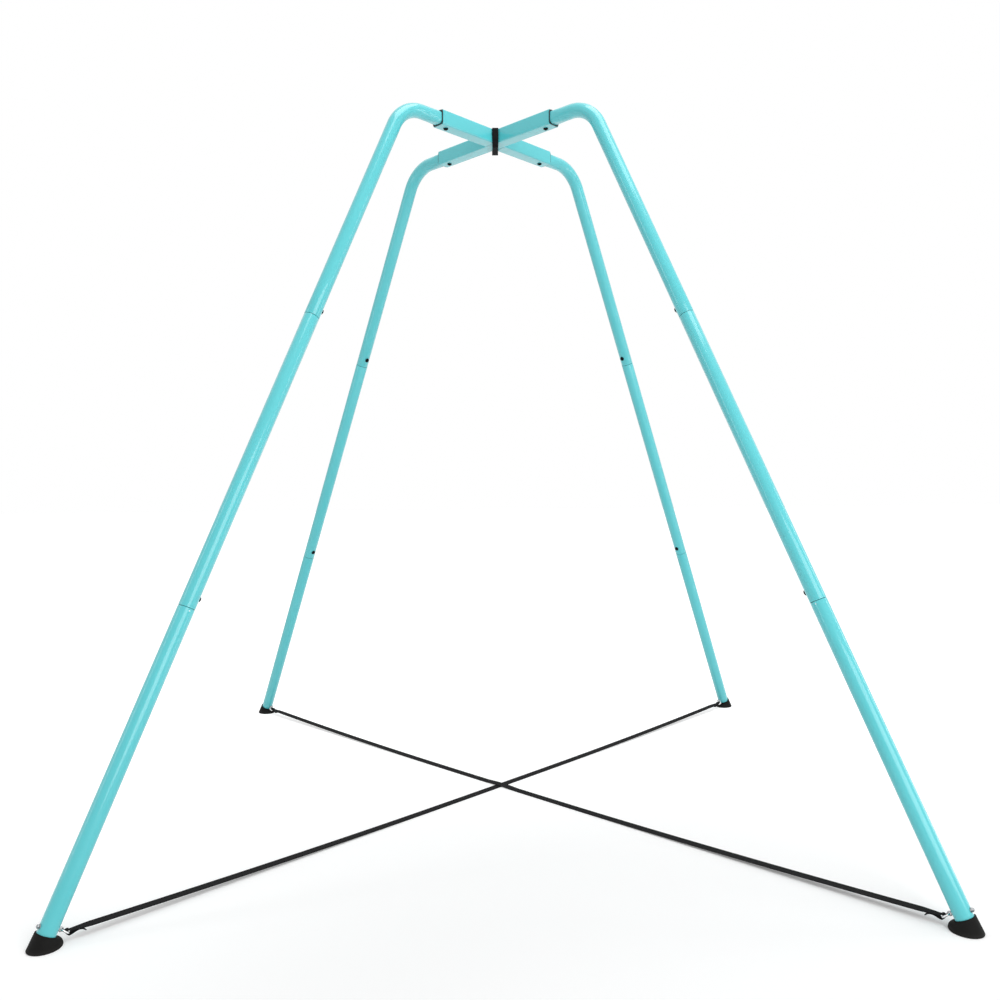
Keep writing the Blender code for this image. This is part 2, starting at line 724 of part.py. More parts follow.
# The eye bolts with their washers and nuts, and the rings.
eye_mesh = eye_bolt()
washer_mesh = washer()
nut_mesh = hexagon_nut()
ring_mesh = torus("ring", RING_RADIUS, RING_WIRE / 2, 20, 8, Matrix.Translation((RING_RADIUS, 0, 0)))
washer_x = -TUBE_RADIUS - FIT - WASHER_THICKNESS / 2
nut_x = -TUBE_RADIUS - FIT - WASHER_THICKNESS - FIT - NUT_HEIGHT / 2
for side in LEGS:
    line = leg_lines[side]
    new_part(f"eye_bolt_{side}", eye_mesh, zinc_steel, line, (EYE_REACH, 0, EYE_SLANT))
    new_part(f"eye_washer_{side}", washer_mesh, zinc_steel, line, (washer_x, 0, EYE_SLANT), (0, pi / 2, 0))
    new_part(f"eye_nut_{side}", nut_mesh, zinc_steel, line, (nut_x, 0, EYE_SLANT))
    hang = (0, LEAN - RING_DROP, 0)
    new_part(f"strap_ring_{side}", ring_mesh, zinc_steel, line, (EYE_REACH, 0, EYE_SLANT), hang)

# The ground straps: one lies flat, the other crosses over it.
flat_turn = (0, 0, LEGS["rear_right"])
over_turn = (0, 0, LEGS["front_right"])
new_part("ground_strap_flat", ground_strap(0), black_webbing, rotation=flat_turn)
new_part("ground_strap_over", ground_strap(CROSSING_LIFT), black_webbing, rotation=over_turn)

# The sling on the cross: its lower loop swings about a line along Y.
new_part("sling_wrap", sling_wrap(), black_webbing, location=hub_place)
sling_pivot = (0, 0, HUB_HEIGHT - ARM_HALF)
new_part("sling_loop", sling_loop(), black_webbing, location=sling_pivot)
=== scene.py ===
from math import atan2, cos, pi, radians, sin, sqrt, tan, tau

import bmesh
import bpy
from mathutils import Matrix, Vector


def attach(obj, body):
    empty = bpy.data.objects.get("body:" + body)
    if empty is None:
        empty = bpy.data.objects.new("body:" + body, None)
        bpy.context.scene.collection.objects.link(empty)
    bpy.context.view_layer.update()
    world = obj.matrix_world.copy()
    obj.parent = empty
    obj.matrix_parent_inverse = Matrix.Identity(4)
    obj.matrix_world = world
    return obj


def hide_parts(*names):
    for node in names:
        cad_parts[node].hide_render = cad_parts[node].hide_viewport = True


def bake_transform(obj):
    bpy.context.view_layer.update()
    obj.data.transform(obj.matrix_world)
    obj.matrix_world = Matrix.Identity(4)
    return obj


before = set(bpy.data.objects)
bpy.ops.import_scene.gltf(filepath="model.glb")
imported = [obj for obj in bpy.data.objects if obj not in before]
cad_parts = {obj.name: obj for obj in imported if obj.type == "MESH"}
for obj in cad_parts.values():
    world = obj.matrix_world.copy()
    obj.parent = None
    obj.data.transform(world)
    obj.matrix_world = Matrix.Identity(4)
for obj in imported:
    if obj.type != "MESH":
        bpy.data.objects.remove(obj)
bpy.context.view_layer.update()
scene = bpy.context.scene
scene.view_settings.view_transform = "Standard"

# The camera. It stands three metres in front of the stand at waist height, level but for about
# a degree, and the whole stand fills its square picture.
sensor_width = 36
focal_length = 32.526
camera_place = (-0.049, -2.935, 0.9885)
camera_yaw = -0.0186
camera_pitch = -0.0189
camera_roll = 0.0088

camera_data = bpy.data.cameras.new("camera")
camera_data.sensor_width = sensor_width
camera_data.lens = focal_length
camera = bpy.data.objects.new("camera", camera_data)
scene.collection.objects.link(camera)
camera_turn = (
    Matrix.Rotation(camera_yaw, 4, "Z")
    @ Matrix.Rotation(camera_pitch, 4, "X")
    @ Matrix.Rotation(camera_roll, 4, "Y")
    @ Matrix.Rotation(radians(90), 4, "X")
)
camera.matrix_world = Matrix.Translation(camera_place) @ camera_turn
scene.camera = camera

# The ground straps. Each is black polyester webbing 25 mm wide, drawn taut between the rings of
# two opposite feet, and comes down to the floor in a long shallow curve. Its ends go through the
# rings, turn back and are sewn down. In the middle one strap crosses over the other.
hub_height = 2.094
corner_radius = 0.387
lean = radians(26.3)
fit = 0.0003
foot_rise = 0.032
eye_above_foot = 0.013
eye_reach = 0.0275
ring_radius = 0.010
ring_wire = 0.004
ring_drop = radians(38)
ring_play = 0.0019
wire_gap = 0.0008
strap_width = 0.025
strap_thickness = 0.0018
gathered_width = 0.013
gather_length = 0.045
rise_length = 1.200
flat_at = 0.110
crossing_ramp = 0.060
tail_length = 0.034
tail_sewn_to = 0.026
tail_sewn_from = 0.016
tail_droop = 0.005
layer_gap = 0.0004
box_near_ring = 0.0145
box_far_from_ring = 0.0265
box_half_width = 0.0065
stitch_pitch = 0.0026
stitch_lift = 0.0001
thread_width = 0.00055
thread_height = 0.00045
thread_rounding = 0.00018
strap_z = fit + strap_thickness / 2
crossing_lift = strap_thickness + fit

foot_top = hub_height / cos(lean) - foot_rise
eye_slant = foot_top - eye_above_foot
corner = Vector((corner_radius, 0, hub_height))
leg_down = Vector((sin(lean), 0, -cos(lean)))
leg_inward = Vector((-cos(lean), 0, -sin(lean)))
eye_place = corner + leg_down * eye_slant + leg_inward * eye_reach
ring_out = Vector((cos(ring_drop), 0, sin(ring_drop)))
ring_over = Vector((-sin(ring_drop), 0, cos(ring_drop)))
wire = eye_place - ring_out * (2 * ring_radius)
clear = ring_wire / 2 + wire_gap + strap_thickness / 2
crest = wire + ring_over * (clear + ring_play)


def smooth_line(points, parts):
    """A finer line through the same points, without corners."""
    line = []
    for k in range(len(points) - 1):
        before = points[max(k - 1, 0)]
        start, end = points[k], points[k + 1]
        after = points[min(k + 2, len(points) - 1)]
        span = (end - start).length
        leaving = (end - before).normalized() * span
        arriving = (after - start).normalized() * span
        for step in range(parts):
            t = step / parts
            line.append(
                start * (2 * t**3 - 3 * t**2 + 1)
                + leaving * (t**3 - 2 * t**2 + t)
                + end * (3 * t**2 - 2 * t**3)
                + arriving * (t**3 - t**2)
            )
    return line + [points[-1]]


def webbing(line, widths, across, thickness):
    """A band of webbing along a line, with a map in metres: along the band, then across it."""
    bm = bmesh.new()
    bmesh.ops.create_grid(bm, x_segments=len(line) - 1, y_segments=8, size=0.5)
    along = [0.0]
    for near, far in zip(line, line[1:]):
        along.append(along[-1] + (far - near).length)
    weave = bm.loops.layers.uv.new("weave")
    row_of = {v: round((v.co.x + 0.5) * (len(line) - 1)) for v in bm.verts}
    share_of = {v: v.co.y for v in bm.verts}
    for face in bm.faces:
        for loop in face.loops:
            row = row_of[loop.vert]
            loop[weave].uv = (along[row], share_of[loop.vert] * widths[row])
    for v in bm.verts:
        v.co = line[row_of[v]] + across * (share_of[v] * widths[row_of[v]])
    bm.normal_update()
    for v in bm.verts:
        v.co += v.normal * (thickness / 2)
    bmesh.ops.solidify(bm, geom=bm.faces[:], thickness=thickness)
    return bm


def piece(name, bm, *materials, sharp=35):
    """The finished object of a mesh, with its faces turned out and its corners kept sharp."""
    bmesh.ops.recalc_face_normals(bm, faces=bm.faces)
    mesh = bpy.data.meshes.new(name)
    bm.to_mesh(mesh)
    bm.free()
    for material in materials:
        mesh.materials.append(material)
    mesh.shade_smooth()
    mesh.set_sharp_from_angle(angle=radians(sharp))
    made = bpy.data.objects.new(name, mesh)
    scene.collection.objects.link(made)
    return made


class Shade:
    """A value or colour in a material. Sums written with it add Math nodes."""

    def __init__(self, tree, socket=None):
        self.tree = tree
        self.socket = socket

    def node(self, kind, settings, inputs, output=0):
        made = self.tree.nodes.new(kind)
        for key, value in settings.items():
            setattr(made, key, value)
        for key, value in inputs.items():
            if isinstance(value, Shade):
                self.tree.links.new(value.socket, made.inputs[key])
            else:
                made.inputs[key].default_value = value
        return Shade(self.tree, made.outputs[output])

    def other(self, output):
        """Another output of the same node."""
        return Shade(self.tree, self.socket.node.outputs[output])

    def place(self):
        """Where a point lies on the object, in metres."""
        return self.node("ShaderNodeTexCoord", {}, {}, output="Object")

    def noise(self, scale, detail):
        """Noise over this place, with about so many grains to the metre."""
        inputs = {"Vector": self, "Scale": scale, "Detail": detail}
        return self.node("ShaderNodeTexNoise", {}, inputs)

    def math(self, operation, *values):
        return self.node("ShaderNodeMath", {"operation": operation}, dict(enumerate(values)))

    def __add__(self, other):
        return self.math("ADD", self, other)

    __radd__ = __add__

    def __sub__(self, other):
        return self.math("SUBTRACT", self, other)

    def __rsub__(self, other):
        return self.math("SUBTRACT", other, self)

    def __mul__(self, other):
        return self.math("MULTIPLY", self, other)

    __rmul__ = __mul__

    def blend(self, low, high):
        """The colour low where this mask is 0 and high where it is 1."""
        return self.node(
            "ShaderNodeMix", {"data_type": "RGBA"}, {0: self, 6: low, 7: high}, output=2
        )

    def bump(self, distance, strength):
        """The normal of a surface with this relief. Distance is in metres."""
        inputs = {"Height": self, "Distance": distance, "Strength": strength}
        return self.node("ShaderNodeBump", {}, inputs)


def new_finish(name, **settings):
    """A material, its shader with these sockets set, and a Shade to build its nodes from."""
    material = bpy.data.materials.new(name)
    material.use_nodes = True
    shader = material.node_tree.nodes["Principled BSDF"]
    for socket, value in settings.items():
        shader.inputs[socket.replace("_", " ")].default_value = value
    return material, shader, Shade(material.node_tree)


def feed(shader, **sockets):
    """Links shades to the shader's sockets."""
    for socket, shade in sockets.items():
        shade.tree.links.new(shade.socket, shader.inputs[socket.replace("_", " ")])


rib_pitch = 0.0021
thread_pitch = 0.0013
webbing_finish, shader, base = new_finish("black_webbing", Roughness=0.8, Specular_IOR_Level=0.1)
weave_map = base.node("ShaderNodeUVMap", {"uv_map": "weave"}, {})
run = base.node("ShaderNodeSeparateXYZ", {}, {0: weave_map})
rib = base.math("FRACT", run.other(1) * (1 / rib_pitch))
off_rib = base.math("ABSOLUTE", rib * 2 - 1)
crown = 1 - off_rib * off_rib
slant = run * (1 / thread_pitch) + off_rib * 0.55
thread = base.math("ABSOLUTE", base.math("SINE", slant * pi))
relief = crown * 0.55 + thread * 0.45
lint = weave_map.noise(260, 4)
# The webbing's colour is darker in the weave's grooves, as painted shade that follows the relief,
# and varies at random with the lint.
groove_shade_and_lint = relief * 0.55 + lint * 0.45
feed(
    shader,
    Base_Color=groove_shade_and_lint.blend((0.002, 0.002, 0.0022, 1), (0.011, 0.0112, 0.012, 1)),
    Normal=relief.bump(0.0004, 0.6),
)

thread_finish, shader, base = new_finish("sewing_thread", Roughness=0.6, Specular_IOR_Level=0.2)
twist = base.place().noise(1800, 2)
feed(
    shader,
    Base_Color=twist.blend((0.006, 0.006, 0.0065, 1), (0.026, 0.0265, 0.028, 1)),
    Normal=twist.bump(0.0002, 0.5),
)


def strap_height(x):
    """How high the strap runs where it comes down from the ring to the floor."""
    share = min(max((crest.x - x) / rise_length, 0), 1)
    return strap_z + (crest.z - strap_z) * (1 - share) ** 2


def half_strap(lift):
    """The strap's tail, its way round the ring and its run to the middle, in an upright plane."""
    inside = ring_radius - ring_wire / 2 - wire_gap
    throat = sqrt(inside**2 - (gathered_width / 2) ** 2) - strap_thickness / 2
    bight = clear + ring_play / 2
    turn = wire + ring_out * (ring_radius - throat - bight) + ring_over * (ring_play / 2)
    tail = []
    for reach, droop in ((tail_length, tail_droop), (tail_sewn_to, 0), (tail_sewn_from, 0)):
        x = wire.x - reach
        tail.append(Vector((x, 0, strap_height(x) - strap_thickness - layer_gap - droop)))
    tail.append(wire - Vector((0, 0, clear + fit)))
    loop = []
    for k in range(9):
        angle = ring_drop - pi / 2 + pi * k / 8
        loop.append(turn + Vector((cos(angle), 0, sin(angle))) * bight)
    run_in = [crest]
    for share in (0.0125, 0.0375, 0.1, 0.2, 0.35, 0.5, 0.65, 0.8, 1):
        x = crest.x - rise_length * share
        run_in.append(Vector((x, 0, strap_height(x))))
    run_in.append(Vector((flat_at, 0, strap_z)))
    for k in range(7):
        share = k / 6
        x = strap_width / 2 + fit + crossing_ramp * (1 - share)
        rise = lift * (3 * share**2 - 2 * share**3)
        run_in.append(Vector((x, 0, strap_z + rise)))
    return tail, loop, run_in


def mirrored(points):
    """The same points on the other side of the middle, in the order that goes on from there."""
    return [Vector((-p.x, 0, p.z)) for p in reversed(points)]


def edges_at(verts):
    """The edges at these points, each once."""
    return list(dict.fromkeys(e for v in verts for e in v.link_edges))


def eased(bm, edges, offset, segments):
    """Rounds these edges off."""
    bmesh.ops.bevel(
        bm,
        geom=edges,
        offset=offset,
        segments=segments,
        profile=0.5,
        affect="EDGES",
        material=-1,
    )


def stitches(bm, start, end):
    """A row of sewn stitches between two points on a band, each a short length of thread."""
    run = end - start
    count = max(round(run.length / stitch_pitch), 1)
    turn = run.to_track_quat("X", "Z").to_matrix().to_4x4()
    size = Matrix.Diagonal((stitch_pitch * 0.80, thread_width, thread_height, 1))
    for k in range(count):
        centre = start + run * ((k + 0.5) / count) + Vector((0, 0, stitch_lift))
        place = Matrix.Translation(centre) @ turn
        made = bmesh.ops.create_cube(bm, size=1, matrix=place @ size)["verts"]
        eased(bm, edges_at(made), thread_rounding, 1)


def crossed_box(near, far, half):
    """The six lines of a sewn box with a cross in it, each from and to a place along and across."""
    return (
        ((near, -half), (near, half)),
        ((far, -half), (far, half)),
        ((near, -half), (far, -half)),
        ((near, half), (far, half)),
        ((near, -half), (far, half)),
        ((near, half), (far, -half)),
    )


straps = {"ground_strap_flat": (45, 0), "ground_strap_over": (-45, crossing_lift)}
for name, (azimuth, lift) in straps.items():
    tail, loop, run_in = half_strap(lift)
    half = tail + loop + run_in
    line = smooth_line(half + mirrored(half), 4)
    full_until = wire.x - gather_length
    widths = []
    for point in line:
        share = min(max((abs(point.x) - full_until) / gather_length, 0), 1)
        widths.append(strap_width + (gathered_width - strap_width) * share)
    bm = webbing(line, widths, Vector((0, 1, 0)), strap_thickness)
    turn = Matrix.Rotation(radians(azimuth), 4, "Z")
    bm.transform(turn)
    strap = piece(f"{name}_webbing", bm, webbing_finish)
    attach(strap, "stand")
    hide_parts(name)

    bm = bmesh.new()
    box = crossed_box(wire.x - box_far_from_ring, wire.x - box_near_ring, box_half_width)
    for end in (1, -1):
        for row in box:
            start, stop = (
                Vector((x * end, y, strap_height(x) + strap_thickness / 2)) for x, y in row
            )
            stitches(bm, start, stop)
    bm.transform(turn)
    sewing = piece(f"{name}_stitching", bm, thread_finish)
    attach(sewing, "stand")

    route = loop[4:] + run_in
    route = [turn @ p for p in route + mirrored(route)]
    length = sum((b - a).length for a, b in zip(route, route[1:]))
    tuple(route[0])

# The cross at the top. Two square steel tubes are welded through each other, ground a little
# and powder coated turquoise. Weld shows in the four notches and across the top and underside.
arm_reach = 0.247
arm_side = 0.045
arm_half = arm_side / 2
arm_wall = 0.002
arm_corner = 0.005
weld_overrun = 0.001
notch_weld = 0.0021
notch_weld_out = 0.0002
face_weld = 0.0017
face_weld_out = 0.0004
face_weld_sink = 0.0011
bead_step = 0.0005
bead_tip = 0.3
bead_ripple = 0.13


def at_hub(azimuth):
    """The place of one arm's line: X runs out along the arm, at the height of the cross."""
    return Matrix.Translation((0, 0, hub_height)) @ Matrix.Rotation(radians(azimuth), 4, "Z")


def drawn(bm, edges, place):
    """Extrudes a ring of edges and moves its new points by a function of their position."""
    made = bmesh.ops.extrude_edge_only(bm, edges=edges)["geom"]
    fresh = {e for e in made if isinstance(e, bmesh.types.BMVert)}
    for v in fresh:
        v.co = place(v.co)
    return [
        e
        for e in made
        if isinstance(e, bmesh.types.BMEdge) and all(v in fresh for v in e.verts)
    ]


def weld_bead(bm, start, end, radius):
    """A run of weld from start to end, with a ripple every two millimetres."""
    run = end - start
    steps = round(run.length / bead_step)
    turn = run.to_track_quat("Z", "X").to_matrix().to_4x4()
    ring = bmesh.ops.create_circle(
        bm, segments=10, radius=radius * bead_tip, matrix=Matrix.Translation(start) @ turn
    )["verts"]
    edges = edges_at(ring)
    bmesh.ops.edgeloop_fill(bm, edges=edges)
    for k in range(1, steps + 1):
        old = start + run * ((k - 1) / steps)
        new = start + run * (k / steps)
        fullness = min(bead_tip + (1 - bead_tip) * min(k, steps - k) / 3, 1)
        size = radius * fullness * (1 + bead_ripple * abs(sin(pi * k / 4)))
        edges = drawn(bm, edges, lambda co: new + (co - old).normalized() * size)
    bmesh.ops.edgeloop_fill(bm, edges=edges)


# The powder coat is a smooth semi-gloss skin with a faint orange peel.
paint_finish, shader, base = new_finish(
    "painted_steel", Specular_IOR_Level=0.3, Coat_Roughness=0.08, Coat_IOR=1.5
)
place = base.place()
cloud = place.noise(9, 3)
peel = place.noise(420, 2)
speck = place.noise(2600, 1)
shade = cloud * 0.8 + speck * 0.2
feed(
    shader,
    Base_Color=shade.blend((0.080, 0.545, 0.590, 1), (0.095, 0.590, 0.635, 1)),
    Roughness=cloud * 0.06 + 0.31,
    Coat_Weight=cloud * 0.15 + 0.85,
    Normal=(peel * 0.9 + speck * 0.1).bump(0.000003, 0.3),
)

bm = bmesh.new()
bmesh.ops.create_cube(bm, size=1)
bmesh.ops.scale(bm, vec=(arm_reach, arm_side, arm_side), verts=bm.verts)
bmesh.ops.translate(bm, vec=(arm_reach / 2, 0, 0), verts=bm.verts)
long_edges = [e for e in bm.edges if abs(e.verts[0].co.x - e.verts[1].co.x) > arm_side]
eased(bm, long_edges, arm_corner, 8)
ends = [f for f in bm.faces if abs(f.normal.x) > 0.9]
bmesh.ops.delete(bm, geom=ends, context="FACES_ONLY")
for normal in ((1, -1, 0), (1, 1, 0)):
    bmesh.ops.bisect_plane(
        bm,
        geom=bm.verts[:] + bm.edges[:] + bm.faces[:],
        plane_co=(0, 0, 0),
        plane_no=normal,
        clear_inner=True,
    )
bmesh.ops.spin(
    bm,
    geom=bm.verts[:] + bm.edges[:] + bm.faces[:],
    cent=(0, 0, 0),
    axis=(0, 0, 1),
    angle=radians(270),
    steps=3,
    use_duplicate=True,
)
bmesh.ops.remove_doubles(bm, verts=bm.verts, dist=0.00002)
bmesh.ops.recalc_face_normals(bm, faces=bm.faces)
bmesh.ops.solidify(bm, geom=bm.faces[:], thickness=arm_wall)
weld_half = arm_half - arm_corner + weld_overrun
for x, y in ((1, 1), (1, -1), (-1, 1), (-1, -1)):
    notch = Vector((x, y, 0)) * (arm_half + notch_weld_out)
    rise = Vector((0, 0, weld_half))
    weld_bead(bm, notch - rise, notch + rise, notch_weld)
for x in (1, -1):
    for z in (1, -1):
        middle = Vector((x * (arm_half + face_weld_out), 0, z * (arm_half - face_weld_sink)))
        reach = Vector((0, weld_half, 0))
        weld_bead(bm, middle - reach, middle + reach, face_weld)
bm.transform(at_hub(45))
hub = piece("hub_cross_welded", bm, paint_finish, sharp=50)
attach(hub, "stand")
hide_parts("hub_cross")

# The bushes in the arms' ends. Each is a moulded black plastic sleeve pushed into the arm, with
# a thin lip over the arm's end and a squared hole that the leg tube plugs into.
legs = {"front_left": -135, "front_right": -45, "rear_left": 135, "rear_right": 45}
sleeve_depth = 0.058
lip_thickness = 0.002
lip_corner = 0.010
plug_side = 0.038
plug_corner = 0.0115
bush_segments = 96
sleeve_start = arm_reach - sleeve_depth
sleeve_half = arm_half - arm_wall - fit
sleeve_corner = arm_corner - arm_wall - fit
lip_start = arm_reach + fit
lip_end = lip_start + lip_thickness
lip_half = arm_half - fit
hole_half = plug_side / 2 + fit
hole_corner = plug_corner + fit


def squared(angle, half, corner):
    """How far a rounded square's edge is from its centre, in this direction."""
    flat = half - corner
    c, s = sorted((abs(cos(angle)), abs(sin(angle))), reverse=True)
    if s / c * half <= flat:
        return half / c
    return flat * (c + s) + sqrt(max(corner**2 - flat**2 * (c - s) ** 2, 0))


def resized(x, half, corner):
    """A move for a ring across X: it goes to x, as a rounded square of this size."""

    def place(co):
        size = squared(atan2(co.z, co.y), half, corner)
        return Vector((x, *(co.yz.normalized() * size)))

    return place


def section(bm, x, half, corner, segments):
    """A rounded square ring across X, as the first ring of a tube."""
    turn = Matrix.Translation((x, 0, 0)) @ Matrix.Rotation(radians(90), 4, "Y")
    ring = bmesh.ops.create_circle(bm, segments=segments, radius=half, matrix=turn)["verts"]
    for v in ring:
        v.co = resized(x, half, corner)(v.co)
    return edges_at(ring)


plastic_finish, shader, base = new_finish("black_plastic")
grain = base.place().noise(900, 3)
feed(
    shader,
    Base_Color=grain.blend((0.008, 0.008, 0.009, 1), (0.022, 0.022, 0.024, 1)),
    Roughness=grain * 0.2 + 0.34,
    Normal=grain.bump(0.0001, 0.35),
)

# From the sleeve over the lip, whose edges are eased, and back through the hole.
bush_rings = (
    (lip_start, sleeve_half, sleeve_corner),
    (lip_start, lip_half - 0.0004, lip_corner - 0.0002),
    (lip_start + 0.0004, lip_half, lip_corner),
    (lip_end - 0.0005, lip_half, lip_corner),
    (lip_end, lip_half - 0.0005, lip_corner - 0.0002),
    (lip_end, hole_half + 0.0003, hole_corner + 0.0001),
    (lip_end - 0.0003, hole_half, hole_corner),
    (sleeve_start, hole_half, hole_corner),
)
for side, azimuth in legs.items():
    bm = bmesh.new()
    first = section(bm, sleeve_start, sleeve_half, sleeve_corner, bush_segments)
    edges = first
    for x, half, corner in bush_rings:
        edges = drawn(bm, edges, resized(x, half, corner))
    bmesh.ops.bridge_loops(bm, edges=first + edges)
    bm.transform(at_hub(azimuth))
    bush = piece(f"hub_bush_{side}_moulded", bm, plastic_finish)
    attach(bush, "stand")
    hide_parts(f"hub_bush_{side}")

# The upper leg tubes. Round 42 mm steel tube, pressed square where it plugs into the bush, bent
# with a 120 mm radius and powder coated.
upper_length = 0.732
tube_radius = 0.021
tube_wall = 0.0015
tube_segments = 64
rim_ease = 0.0004
plug_depth = 0.065
squared_until = 0.2505
round_from = 0.300
bend_radius = 0.120
bend_steps = 28
straight_parts = 6
plug_start = arm_reach - plug_depth
bend_turn = pi / 2 - lean
bend_reach = bend_radius * tan(bend_turn / 2)
bend_start = corner_radius - bend_reach
straight_part = (upper_length - bend_reach) / straight_parts
rounding_rings = [0.256 + 0.006 * k for k in range(7)]

for side, azimuth in legs.items():
    bm = bmesh.new()
    edges = section(bm, plug_start, tube_radius, tube_radius, tube_segments)
    for x in (squared_until, *rounding_rings, round_from, bend_start):
        edges = drawn(bm, edges, lambda co: Vector((x, co.y, co.z)))
    for v in bm.verts:
        share = min(max((v.co.x - squared_until) / (round_from - squared_until), 0), 1)
        share = share * share * (3 - 2 * share)
        size = squared(atan2(v.co.z, v.co.y), plug_side / 2, plug_corner)
        size += (tube_radius - size) * share
        v.co = Vector((v.co.x, *(v.co.yz.normalized() * size)))
    bent = bmesh.ops.spin(
        bm,
        geom=list(dict.fromkeys(v for e in edges for v in e.verts)) + edges,
        cent=(bend_start, 0, -bend_radius),
        axis=(0, 1, 0),
        angle=bend_turn,
        steps=bend_steps,
    )["geom_last"]
    edges = [e for e in bent if isinstance(e, bmesh.types.BMEdge)]
    for k in range(straight_parts):
        edges = drawn(bm, edges, lambda co: co + leg_down * straight_part)
    bmesh.ops.recalc_face_normals(bm, faces=bm.faces)
    bmesh.ops.solidify(bm, geom=bm.faces[:], thickness=tube_wall)
    rims = [e for e in bm.edges if e.is_manifold and e.calc_face_angle(0) > radians(60)]
    eased(bm, rims, rim_ease, 2)
    bm.transform(at_hub(azimuth))
    tube = piece(f"upper_tube_{side}_bent", bm, paint_finish)
    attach(tube, "stand")
    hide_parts(f"upper_tube_{side}")

# The middle and lower leg tubes. Each has a narrowed end that pushes up into the tube above. Where
# the narrowed end shows in the joint's gap it is near-black, painted shade with a little grime, so
# that a thin dark line shows at the joint. The lower one has a small plated rivet beside its joint.
middle_length = 0.826
foot_socket = 0.018
swage_length = 0.078
joint_gap = 0.0011
shoulder_ease = 0.0006
rivet_below_joint = 0.0075
lower_joint = upper_length + middle_length
tube_end = foot_top + foot_socket - fit
tube_bore = tube_radius - tube_wall
swage_radius = tube_bore - fit
swage_bore = swage_radius - tube_wall


def down_leg(azimuth):
    """The place of a leg's straight line: Z runs down the leg from its corner, X points inwards."""
    corner = Matrix.Translation((corner_radius, 0, 0))
    return at_hub(azimuth) @ corner @ Matrix.Rotation(pi - lean, 4, "Y")


def full_spin(bm, outline, axis, steps):
    """Spins an outline right round an axis through the origin, and closes its seam and poles."""
    bmesh.ops.spin(
        bm,
        geom=outline,
        cent=(0, 0, 0),
        axis=axis,
        angle=tau,
        steps=steps,
        use_merge=True,
    )
    bmesh.ops.remove_doubles(bm, verts=bm.verts, dist=0.000002)


def turned(bm, profile, steps, closed=False):
    """Spins a profile of (radius, z) round Z."""
    verts = [bm.verts.new((r, 0, z)) for r, z in profile]
    edges = [bm.edges.new(pair) for pair in zip(verts, verts[1:])]
    if closed:
        edges.append(bm.edges.new((verts[-1], verts[0])))
    full_spin(bm, verts + edges, (0, 0, 1), steps)


def swaged_profile(joint, end):
    """A tube's wall from its lower end up its outside, round its narrowed top and down its bore."""
    shoulder = joint + joint_gap
    top = joint - swage_length
    return [
        (tube_radius - 0.0003, end),
        (tube_radius, end - 0.0003),
        (tube_radius, shoulder + 0.0007),
        (tube_radius - 0.0002, shoulder + 0.0002),
        (tube_radius - shoulder_ease, shoulder),
        (swage_radius, shoulder - 0.00005),
        (swage_radius, joint - 0.003),
        (swage_radius, top + 0.002),
        (swage_radius - 0.0006, top),
        (swage_bore, top),
        (swage_bore, joint + 0.001),
        (tube_bore, joint + 0.004),
        (tube_bore, end),
    ]


# The joint's gap colour is near-black: painted shade in the gap, with a little grime noise in it.
gap_shade_finish, shader, base = new_finish("joint_gap", Roughness=0.7)
gap_shade_and_grime = base.place().noise(300, 3)
feed(shader, Base_Color=gap_shade_and_grime.blend((0.004, 0.012, 0.014, 1), (0.012, 0.045, 0.05, 1)))

rivet_finish, shader, base = new_finish("plated_rivet", Metallic=0.9, Roughness=0.22)
wipe = base.place().noise(600, 2)
feed(shader, Base_Color=wipe.blend((0.70, 0.76, 0.78, 1), (0.86, 0.90, 0.92, 1)))
rivet_profile = [(0, 0.0006), (0.0008, 0.0005), (0.0015, 0.0001), (0.0016, -0.0012), (0, -0.0012)]

swaged = {"middle_tube": (upper_length, lower_joint), "lower_tube": (lower_joint, tube_end)}
to_front = {"front_left": 1, "front_right": -1, "rear_left": -1, "rear_right": 1}
for side, azimuth in legs.items():
    for name, (joint, end) in swaged.items():
        bm = bmesh.new()
        turned(bm, swaged_profile(joint, end), tube_segments, closed=True)
        # The narrowed end's faces, up to the shoulder, take the gap's painted shade.
        for face in bm.faces:
            centre = face.calc_center_median()
            if centre.z < joint + joint_gap and centre.xy.length > swage_radius - 0.0003:
                face.material_index = 1
        bm.transform(down_leg(azimuth))
        tube = piece(f"{name}_{side}_swaged", bm, paint_finish, gap_shade_finish)
        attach(tube, "stand")
        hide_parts(f"{name}_{side}")

    facing = to_front[side]
    bm = bmesh.new()
    turned(bm, rivet_profile, 20)
    bm.transform(Matrix.Rotation(radians(-90 * facing), 4, "X"))
    beside_joint = (0, facing * tube_radius, lower_joint + rivet_below_joint)
    bm.transform(down_leg(azimuth) @ Matrix.Translation(beside_joint))
    rivet = piece(f"joint_rivet_{side}", bm, rivet_finish)
    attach(rivet, "stand")

# The screws. Black oxide button heads with a hexagon socket: an 8 mm one under each arm, and a
# 6 mm one with as wide a head on the inner side of each leg, above each of its tube joints.
screw_from_arm_end = 0.031
screw_above_joint = 0.028
hub_screw = {"head": 0.0155, "height": 0.005, "shank": 0.008, "length": 0.011, "key": 0.005}
leg_screw = {"head": 0.0155, "height": 0.0045, "shank": 0.006, "length": 0.009, "key": 0.004}
screw_segments = 48
dome_from = 28
dome_to = 90


def hexagon(angle, flat):
    """How far a hexagon's edge is from its centre, in this direction. Flat is across its flats."""
    return flat / 2 / cos((angle + pi / 6) % (pi / 3) - pi / 6)


